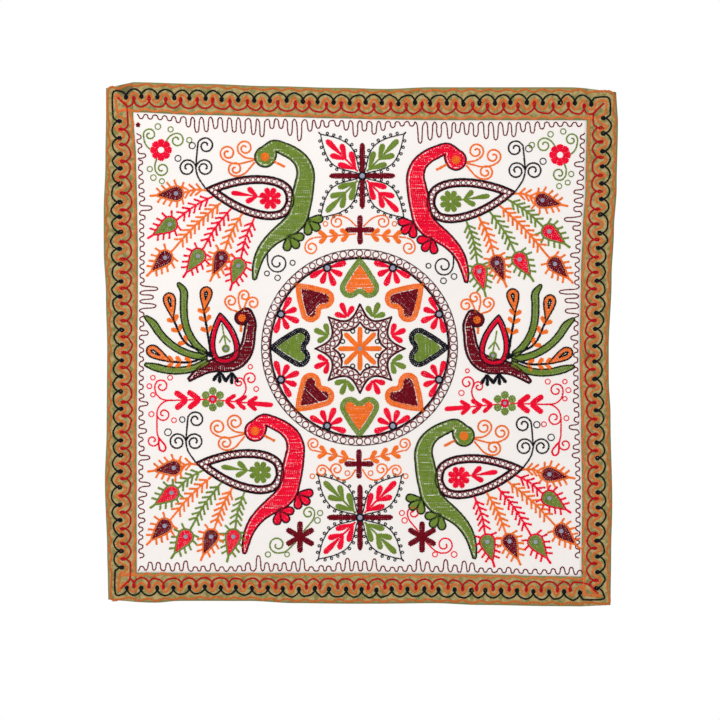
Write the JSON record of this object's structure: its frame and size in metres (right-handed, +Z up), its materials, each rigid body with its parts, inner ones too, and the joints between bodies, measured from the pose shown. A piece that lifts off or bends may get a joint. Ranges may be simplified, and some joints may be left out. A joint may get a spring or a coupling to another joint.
{
  "type": "embroidered wall hanging",
  "caption": "Square cotton wall hanging with chain-stitch peacocks, a round medallion, small mirrors and a stitched olive border, hung from its top edge.",
  "frame": {"origin": "middle of the hanging's top edge, in the cloth's middle plane there, where it is held up", "axes": "+Z up, the front faces -Y, +X to the right as seen from the front"},
  "size_m": [0.905, 0.0086, 0.9226],
  "materials": {
    "cotton": "plain cream cotton, soft and matte",
    "border_cloth": "khaki cloth mottled with olive green, matte",
    "mirror_glass": "small silvered glass discs",
    "red_thread": "chain stitch in soft wool yarn",
    "green_thread": "chain stitch in soft wool yarn",
    "orange_thread": "chain stitch in soft wool yarn",
    "maroon_thread": "chain stitch in soft wool yarn",
    "black_thread": "chain stitch in soft wool yarn",
    "rust_thread": "fine chain stitch of the border",
    "crimson_thread": "fine chain stitch of the border"
  },
  "bodies": {
    "root": {"ground_panel": "cotton", "border_left": "border_cloth", "border_right": "border_cloth", "border_top": "border_cloth", "border_bottom": "border_cloth", "upper_left_feather_mirror_1": "mirror_glass", "upper_left_feather_mirror_2": "mirror_glass", "upper_left_feather_mirror_3": "mirror_glass", "upper_left_feather_mirror_4": "mirror_glass", "upper_left_feather_mirror_5": "mirror_glass", "upper_left_feather_mirror_6": "mirror_glass", "upper_right_feather_mirror_1": "mirror_glass", "upper_right_feather_mirror_2": "mirror_glass", "upper_right_feather_mirror_3": "mirror_glass", "upper_right_feather_mirror_4": "mirror_glass", "upper_right_feather_mirror_5": "mirror_glass", "upper_right_feather_mirror_6": "mirror_glass", "lower_left_feather_mirror_1": "mirror_glass", "lower_left_feather_mirror_2": "mirror_glass", "lower_left_feather_mirror_3": "mirror_glass", "lower_left_feather_mirror_4": "mirror_glass", "lower_left_feather_mirror_5": "mirror_glass", "lower_left_feather_mirror_6": "mirror_glass", "lower_right_feather_mirror_1": "mirror_glass", "lower_right_feather_mirror_2": "mirror_glass", "lower_right_feather_mirror_3": "mirror_glass", "lower_right_feather_mirror_4": "mirror_glass", "lower_right_feather_mirror_5": "mirror_glass", "lower_right_feather_mirror_6": "mirror_glass", "fan_mirror_1": "mirror_glass", "fan_mirror_2": "mirror_glass", "fan_mirror_3": "mirror_glass", "fan_mirror_4": "mirror_glass", "fan_mirror_5": "mirror_glass", "fan_mirror_6": "mirror_glass", "fan_mirror_7": "mirror_glass", "fan_mirror_8": "mirror_glass", "star_mirror": "mirror_glass", "upper_cross_mirror": "mirror_glass", "lower_cross_mirror": "mirror_glass", "left_band_mirror": "mirror_glass", "right_band_mirror": "mirror_glass", "left_bird_mirror": "mirror_glass", "right_bird_mirror": "mirror_glass"}
  },
  "joints": []
}
